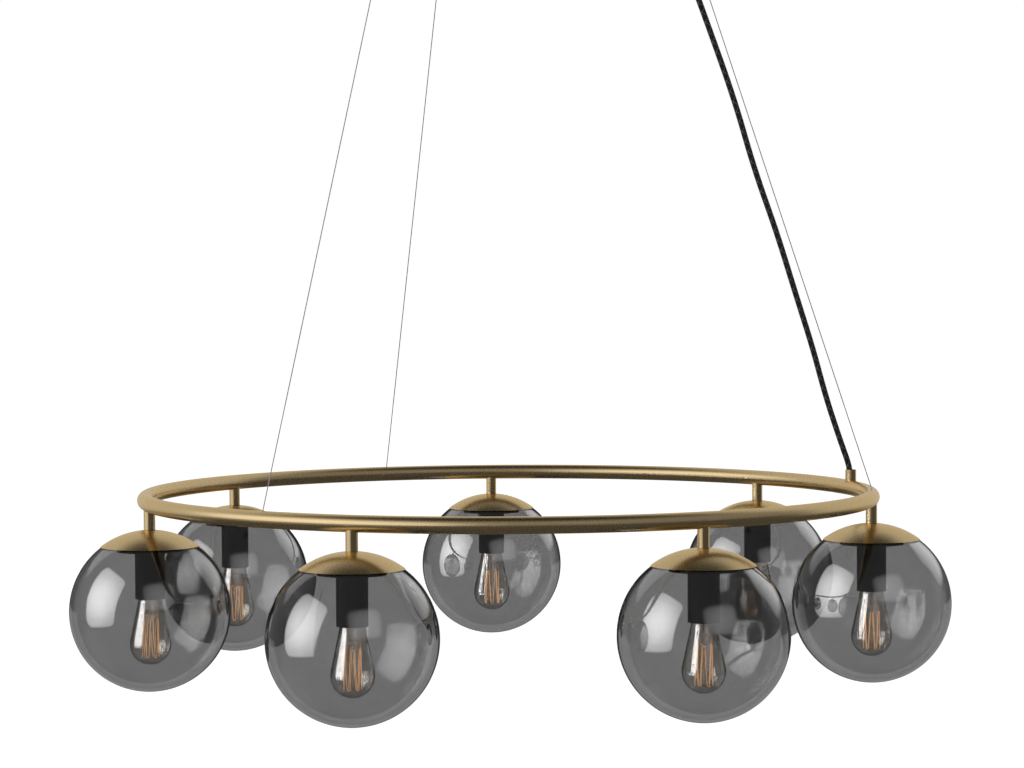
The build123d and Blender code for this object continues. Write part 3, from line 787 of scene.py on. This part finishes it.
carrier_count = 12                   # yarns that wind each way
braid_lay = 0.034                    # length of one whole turn of a yarn
grey_every = 6.0                     # one yarn in so many is grey, each way
yarn_light = (0.016, 0.016, 0.017)
yarn_dark = (0.009, 0.009, 0.009)
yarn_grey = (0.26, 0.25, 0.24, 1.0)


def make_braid_group():
    """Two sets of yarns that cross over and under: the height of the upper one, and a mask of
    the grey yarns among them."""
    group, start, end = shader_group(
        "braid",
        [("Vector", "NodeSocketVector", None)],
        [("Height", "NodeSocketFloat"), ("Grey", "NodeSocketFloat")],
    )
    around, along = wrap_count(group, start, carrier_count, braid_lay)
    heights, yarns, greys = [], [], []
    for operation, first_grey in (("ADD", 0.0), ("SUBTRACT", 3.0)):
        passed = group_math(group, operation, around, along)
        heights.append(strand_height(group, passed))
        yarn = group_math(group, "FLOOR", passed)
        yarns.append(yarn)
        shifted = group_math(group, "ADD", yarn, first_grey)
        place = group_math(group, "FLOORED_MODULO", shifted, grey_every)
        greys.append(group_math(group, "LESS_THAN", place, 0.5))
    parity = group_math(group, "FLOORED_MODULO", group_math(group, "ADD", *yarns), 2.0)
    first_over = group_math(group, "GREATER_THAN", parity, 0.5)
    for pair, output in ((heights, "Height"), (greys, "Grey")):
        mix = group.nodes.new("ShaderNodeMix")
        group.links.new(first_over, mix.inputs["Factor"])
        group.links.new(pair[1], mix.inputs["A"])
        group.links.new(pair[0], mix.inputs["B"])
        group.links.new(mix.outputs["Result"], end.inputs[output])
    return group


def make_black_braid():
    """Matt black yarns with some grey ones among them, fuzzy by a fine grain."""
    material, shader, nodes, links = new_material("black_braid")
    braid = mapped_group(nodes, links, make_braid_group())
    grain = place_grain(nodes, links, 2200.0, 120.0)
    yarn = blend_colours(nodes, links, grain.outputs["Patches"], yarn_light, yarn_dark)
    mix = nodes.new("ShaderNodeMix")
    mix.data_type = "RGBA"
    mix.inputs["B"].default_value = yarn_grey
    links.new(braid.outputs["Grey"], mix.inputs["Factor"])
    links.new(yarn, mix.inputs["A"])
    links.new(mix.outputs["Result"], shader.inputs["Base Color"])
    roughness = spread_value(nodes, links, grain.outputs["Grain"], 0.70, 0.95)
    links.new(roughness, shader.inputs["Roughness"])
    shader.inputs["Sheen Weight"].default_value = 0.15
    bump(nodes, links, braid.outputs["Height"], 0.0005, shader)
    return material


cable_line = spline_points(cable_points, 50)
cable = tube("braided_cable", cable_line, cable_diameter, 32, make_black_braid())
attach(cable, "frame")
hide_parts("power_cable")
coat_node("cord_gland", turned_brass)
coat_node("gland_insert", black_plastic)


# ---- Canopy and its fittings
# A flat brass pan under the ceiling, held by three knurled screws on a zinc-plated plate. In
# it are the wire grippers, the cord bush and clamp, and the terminal block with its leads.
zinc_steel = grained(
    "zinc_steel",
    light=(0.56, 0.57, 0.58),
    dark=(0.40, 0.41, 0.43),
    metallic=1.0,
    smooth=0.28,
    rough=0.46,
    grain_scale=500.0,
    patch_scale=60.0,
    depth=0.00004,
)
white_plastic = grained(
    "white_plastic",
    light=(0.74, 0.74, 0.71),
    dark=(0.66, 0.66, 0.63),
    metallic=0.0,
    smooth=0.30,
    rough=0.45,
    grain_scale=900.0,
    patch_scale=40.0,
    depth=0.00003,
)
core_grey = grained(
    "core_grey",
    light=(0.36, 0.36, 0.36),
    dark=(0.28, 0.28, 0.28),
    metallic=0.0,
    smooth=0.35,
    rough=0.50,
    grain_scale=900.0,
    patch_scale=50.0,
    depth=0.00003,
)
for node in ("canopy_cover", "cord_bush", "wire_grippers"):
    coat_node(node, satin_brass)
for node in ("ceiling_plate", "wire_ferrules", "nipples"):
    coat_node(node, zinc_steel)
for number in range(1, 4):
    coat_node(f"gripper_plunger_{number}", nickel)
for node in ("ring_wiring", "supply_leads"):
    coat_node(node, core_grey)
coat_node("cable_clamp", black_plastic)
coat_node("terminal_block", white_plastic)

screw_angles = [math.radians(52.2 + 120.0 * index) for index in range(3)]
screw_height = -0.0150
screw_head_start = 0.15005
screw_head_length = 0.0060
screw_head_radius = 0.0050
screw_shank_radius = 0.0020
knurl_teeth = 30
knurl_depth = 0.0003
screw_sides = 120
nut_half_width = 0.0040
nut_thickness = 0.0040
nut_sides = 48


def knurled_screw(name, angle, shank_start):
    """Turned screw along a line outwards: round shank, and a head whose grip has straight
    teeth, the radius less half the depth times one less the cosine of the teeth's angle."""
    turn = np.linspace(0.0, 2.0 * np.pi, screw_sides, endpoint=False)
    teeth = knurl_depth * (0.5 - 0.5 * np.cos(knurl_teeth * turn))
    head = screw_head_start
    rows = [(screw_shank_radius - 0.0003, shank_start, 0.0)]
    rows += [(screw_shank_radius, shank_start + 0.0004, 0.0), (screw_shank_radius, head, 0.0)]
    rows += [(screw_head_radius - 0.0006, head, 0.0), (screw_head_radius, head + 0.0006, 1.0)]
    rows += [(screw_head_radius, head + 0.0044, 1.0)]
    rows += [(screw_head_radius - 0.0006, head + 0.0050, 0.0)]
    rows += [(screw_head_radius - 0.0010, head + 0.0053, 0.0)]
    rows += [(screw_head_radius - 0.0012, head + screw_head_length - 0.0001, 0.0)]
    rows += [(screw_head_radius - 0.0016, head + screw_head_length, 0.0)]
    radii = [radius - teeth * share for radius, reach, share in rows]
    reaches = [reach for radius, reach, share in rows]
    axis = (math.cos(angle), math.sin(angle), 0.0)
    place = (0.0, 0.0, screw_height)
    rings = turned_rings(radii, reaches, screw_sides, place, axis, (0.0, 0.0, 1.0))
    foot = out_at(angle, reaches[0], screw_height)
    tip = out_at(angle, reaches[-1], screw_height)
    return skin(name, rings, foot, tip, reaches, [satin_brass])


def square_nut(name, angle, start):
    """Square nut on the same line: the radius is the half width over the larger of the
    angle's cosine and sine, drawn in at both faces."""
    turn = np.linspace(0.0, 2.0 * np.pi, nut_sides, endpoint=False)
    outline = nut_half_width / np.maximum(np.abs(np.cos(turn)), np.abs(np.sin(turn)))
    reaches = [start, start + 0.0003, start + nut_thickness - 0.0003, start + nut_thickness]
    radii = [outline - 0.0003, outline, outline, outline - 0.0003]
    axis = (math.cos(angle), math.sin(angle), 0.0)
    place = (0.0, 0.0, screw_height)
    rings = turned_rings(radii, reaches, nut_sides, place, axis, (0.0, 0.0, 1.0))
    foot = out_at(angle, reaches[0], screw_height)
    tip = out_at(angle, reaches[-1], screw_height)
    return skin(name, rings, foot, tip, reaches, [zinc_steel])


nut_start = 0.14070
for number, angle in enumerate(screw_angles, start=1):
    screw = knurled_screw(f"cover_screw_{number}", angle, nut_start - 0.0010)
    nut = square_nut(f"cover_nut_{number}", angle, nut_start)
    for piece, slot in ((screw, "satin_brass"), (nut, "zinc_steel")):
        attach(piece, "canopy")
    if number == 1:
        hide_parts("cover_screws")


# ---- Studio
# Plain studio: a white backdrop all round and a pale floor. A large soft light stands on the
# left and one hangs above, and what shines shows dimmer ones at the front right and rear right.
camera_place = (0.0075, -4.6459, ring_height + 0.3419)
camera_pitch = math.radians(90.0 - 2.011)
camera_roll = math.radians(0.287)
camera_lens = 101.77
sensor_width = 36.0

camera_data = bpy.data.cameras.new("photographer")
camera_data.lens = camera_lens
camera_data.sensor_width = sensor_width
camera = bpy.data.objects.new("photographer", camera_data)
camera.location = camera_place
camera.rotation_euler = (camera_pitch, camera_roll, 0.0)
bpy.context.scene.collection.objects.link(camera)
bpy.context.scene.camera = camera

object_centre = np.array([0.0, 0.0, -1.55])


def softbox(name, place, width, height, radiance):
    """Area light aimed at the lamp, for its plain surfaces and its shadow on the floor."""
    light = bpy.data.lights.new(name, "AREA")
    light.shape = "RECTANGLE"
    light.size = width
    light.size_y = height
    light.energy = 4.0 * width * height * radiance
    box = bpy.data.objects.new(name, light)
    box.location = place
    aim = object_centre - np.array(place)
    turn = math.atan2(-aim[0], aim[1])
    lift = math.atan2(aim[2], math.hypot(aim[0], aim[1]))
    box.rotation_euler = (math.radians(90.0) + lift, 0.0, turn)
    box.visible_camera = False
    box.visible_glossy = False
    box.visible_transmission = False
    bpy.context.scene.collection.objects.link(box)


softbox("left_softbox", (-3.4, -1.7, 0.2), 2.4, 2.4, 1.6)
softbox("top_softbox", (0.6, -0.8, 2.4), 3.0, 3.0, 0.8)

floor_height = -2.6
floor_reach = 30.0
floor_glow = 0.94


def studio_floor():
    """Flat square sheet under the lamp."""
    corners = [(-floor_reach, -floor_reach), (floor_reach, -floor_reach)]
    corners += [(floor_reach, floor_reach), (-floor_reach, floor_reach)]
    mesh = bpy.data.meshes.new("studio_floor")
    mesh.from_pydata([(x, y, floor_height) for x, y in corners], [], [(0, 1, 2, 3)])
    sheet = bpy.data.objects.new("studio_floor", mesh)
    bpy.context.scene.collection.objects.link(sheet)
    return sheet


def make_floor_paint():
    """Pale paint, as bright as the backdrop where it is seen straight or through glass. A
    mirrored ray passes it, and takes the floor's tone from the studio's own map."""
    material, shader, nodes, links = new_material("floor_paint")
    shader.inputs["Base Color"].default_value = (0.30, 0.30, 0.30, 1.0)
    shader.inputs["Roughness"].default_value = 0.9
    shader.inputs["Emission Color"].default_value = (1.0, 1.0, 1.0, 1.0)
    path = nodes.new("ShaderNodeLightPath")
    straight_rays = (path.outputs["Is Camera Ray"], path.outputs["Is Transmission Ray"])
    seen = maths(nodes, links, "MAXIMUM", *straight_rays)
    glow = maths(nodes, links, "MULTIPLY", seen, floor_glow)
    links.new(glow, shader.inputs["Emission Strength"])
    passed = nodes.new("ShaderNodeBsdfTransparent")
    mix = nodes.new("ShaderNodeMixShader")
    mirrored_ray = maths(nodes, links, "MINIMUM", path.outputs["Glossy Depth"], 1.0)
    links.new(mirrored_ray, mix.inputs["Fac"])
    links.new(shader.outputs["BSDF"], mix.inputs[1])
    links.new(passed.outputs["BSDF"], mix.inputs[2])
    links.new(mix.outputs["Shader"], nodes["Material Output"].inputs["Surface"])
    return material


floor = studio_floor()
floor.data.materials.append(make_floor_paint())

world = bpy.data.worlds.new("studio_world")
bpy.context.scene.world = world
world.use_nodes = True
world.cycles.sampling_method = "NONE"
world_nodes, world_links = world.node_tree.nodes, world.node_tree.links
world_place = world_nodes.new("ShaderNodeTexCoord")
world_way = world_place.outputs["Generated"]


def world_math(operation, first, second=None):
    """Math node in the world, each input a socket or a number."""
    return maths(world_nodes, world_links, operation, first, second)


def vector_math(operation, first, second, output="Vector"):
    """Vector math node in the world, each input a socket or three numbers."""
    node = world_nodes.new("ShaderNodeVectorMath")
    node.operation = operation
    for socket, value in zip(node.inputs, (first, second)):
        if isinstance(value, tuple):
            socket.default_value = value
        elif value is not None:
            world_links.new(value, socket)
    return node.outputs[output]


def smooth_step(value, start, end, low, high):
    """Value eased from low at the start to high at the end."""
    step = world_nodes.new("ShaderNodeMapRange")
    step.interpolation_type = "SMOOTHSTEP"
    limits = {"From Min": start, "From Max": end, "To Min": low, "To Max": high}
    for label, limit in limits.items():
        step.inputs[label].default_value = limit
    world_links.new(value, step.inputs["Value"])
    return step.outputs["Result"]


hot_spot_radius = 0.05
panel_edge_level = 0.35              # of the brightness at a panel's middle
least_facing = 0.05                  # a direction turned further away sees no panel


def light_panel(middle, half_width, half_height, corner, edge):
    """Mask of a far rounded panel round one direction, brightest near its middle.

    A direction's place on the panel is its share across and up over its share towards the
    middle. The distance to a rounded rectangle is eased over the panel's soft edge.
    """
    middle = np.array(middle) / np.linalg.norm(middle)
    across = np.cross((0.0, 0.0, 1.0), middle)
    across /= np.linalg.norm(across)
    upward = np.cross(middle, across)
    facing = vector_math("DOT_PRODUCT", world_way, tuple(middle), "Value")
    spot = world_nodes.new("ShaderNodeCombineXYZ")
    for way, label in ((across, "X"), (upward, "Y")):
        share = vector_math("DOT_PRODUCT", world_way, tuple(way), "Value")
        world_links.new(world_math("DIVIDE", share, facing), spot.inputs[label])
    folded = vector_math("ABSOLUTE", spot.outputs["Vector"], None)
    past = vector_math("SUBTRACT", folded, (half_width - corner, half_height - corner, 0.0))
    outside = vector_math("MAXIMUM", past, (0.0, 0.0, 0.0))
    edge_distance = vector_math("LENGTH", outside, None, "Value")
    middle_distance = vector_math("LENGTH", spot.outputs["Vector"], None, "Value")
    lit = smooth_step(edge_distance, corner - edge, corner, 1.0, 0.0)
    spread = smooth_step(
        middle_distance, hot_spot_radius, half_width + half_height / 3, 1.0, panel_edge_level
    )
    shown = world_math("MULTIPLY", lit, spread)
    return world_math("MULTIPLY", shown, world_math("GREATER_THAN", facing, least_facing))


def brightest(*values):
    """Largest of several brightnesses."""
    largest = values[0]
    for value in values[1:]:
        largest = world_math("MAXIMUM", largest, value)
    return largest


def world_mix(factor, first, second):
    """Number between two, by a factor from nought to one."""
    mix = world_nodes.new("ShaderNodeMix")
    world_links.new(factor, mix.inputs["Factor"])
    world_links.new(first, mix.inputs["A"])
    world_links.new(second, mix.inputs["B"])
    return mix.outputs["Result"]


# Mirrored rays see a bright panel at the left and dimmer ones at the front right and rear
# right, a pale sweep of floor behind the lamp and a dim room. The panels are milder for satin
# metal than for polished glass. All else sees white, and plain surfaces an even light.
world_axes = world_nodes.new("ShaderNodeSeparateXYZ")
world_links.new(world_way, world_axes.inputs["Vector"])
side_axis, depth_axis, height_axis = (world_axes.outputs[label] for label in ("X", "Y", "Z"))
path = world_nodes.new("ShaderNodeLightPath")
left_panel = light_panel((-0.903, -0.320, 0.287), 0.55, 0.67, 0.22, 0.08)
front_panel = light_panel((0.33, -0.84, 0.45), 0.50, 0.45, 0.24, 0.20)
rear_panel = light_panel((0.62, 0.66, 0.42), 0.52, 0.38, 0.25, 0.16)
far_behind = smooth_step(depth_axis, 0.45, 0.52, 0.0, 1.0)
below_horizon = smooth_step(height_axis, -0.10, -0.04, 1.0, 0.0)
floor_sweep = world_math("MULTIPLY", far_behind, below_horizon)
rear_left = world_math(
    "MULTIPLY",
    world_math("MULTIPLY", far_behind, smooth_step(height_axis, 0.26, 0.40, 0.0, 1.0)),
    smooth_step(side_axis, -0.20, 0.0, 1.0, 0.0),
)
# A wall seen edge on mirrors what is straight behind it, which is darkest and draws its rim.
edge_start, edge_full = 0.89, 0.95
edge_level, room_level, floor_level = 0.03, 0.20, 0.50
# The left panel is brighter where a globe's far wall mirrors it from inside.
outer_level, inner_level = 9.5, 26.0
left_level = smooth_step(path.outputs["Transmission Depth"], 2.0, 3.0, outer_level, inner_level)
floor_tone = smooth_step(depth_axis, edge_start, edge_full, floor_level, edge_level)
sharp = brightest(
    smooth_step(depth_axis, edge_start, edge_full, room_level, edge_level),
    world_math("MULTIPLY", floor_sweep, floor_tone),
    world_math("MULTIPLY", rear_left, 0.8),
    world_math("MULTIPLY", rear_panel, 1.8),
    world_math("MULTIPLY", left_panel, left_level),
    world_math("MULTIPLY", front_panel, 1.9),
)
satin_panel = light_panel((-0.85, -0.42, 0.30), 1.7, 1.0, 1.0, 1.0)
backdrop = world_math(
    "MULTIPLY",
    smooth_step(depth_axis, 0.05, 0.35, 0.0, 1.0),
    smooth_step(height_axis, -0.45, -0.10, 0.0, 1.0),
)
darker_overhead = smooth_step(height_axis, 0.70, 0.95, 1.0, 0.12)
room = smooth_step(height_axis, -0.05, 0.20, 0.10, 0.30)
soft = brightest(
    world_math("MULTIPLY", world_math("MULTIPLY", backdrop, darker_overhead), 0.75),
    world_math("MULTIPLY", satin_panel, 1.75),
    world_math("MULTIPLY", front_panel, 0.4),
    world_math("MULTIPLY", room, darker_overhead),
)
mirrored = world_mix(path.outputs["Is Singular Ray"], soft, sharp)
ambient_level = 0.25
seen = world_math("MAXIMUM", path.outputs["Is Camera Ray"], path.outputs["Is Transmission Ray"])
straight = world_math("MAXIMUM", seen, ambient_level)
strength = world_mix(world_math("MINIMUM", path.outputs["Glossy Depth"], 1.0), straight, mirrored)
world_links.new(strength, world_nodes["Background"].inputs["Strength"])
world_nodes["Background"].inputs["Color"].default_value = (1.0, 1.0, 1.0, 1.0)

bpy.context.scene.view_settings.view_transform = "Standard"
bpy.context.scene.cycles.max_bounces = 40
bpy.context.scene.cycles.transmission_bounces = 40
bpy.context.scene.cycles.glossy_bounces = 12
bpy.context.scene.cycles.transparent_max_bounces = 40
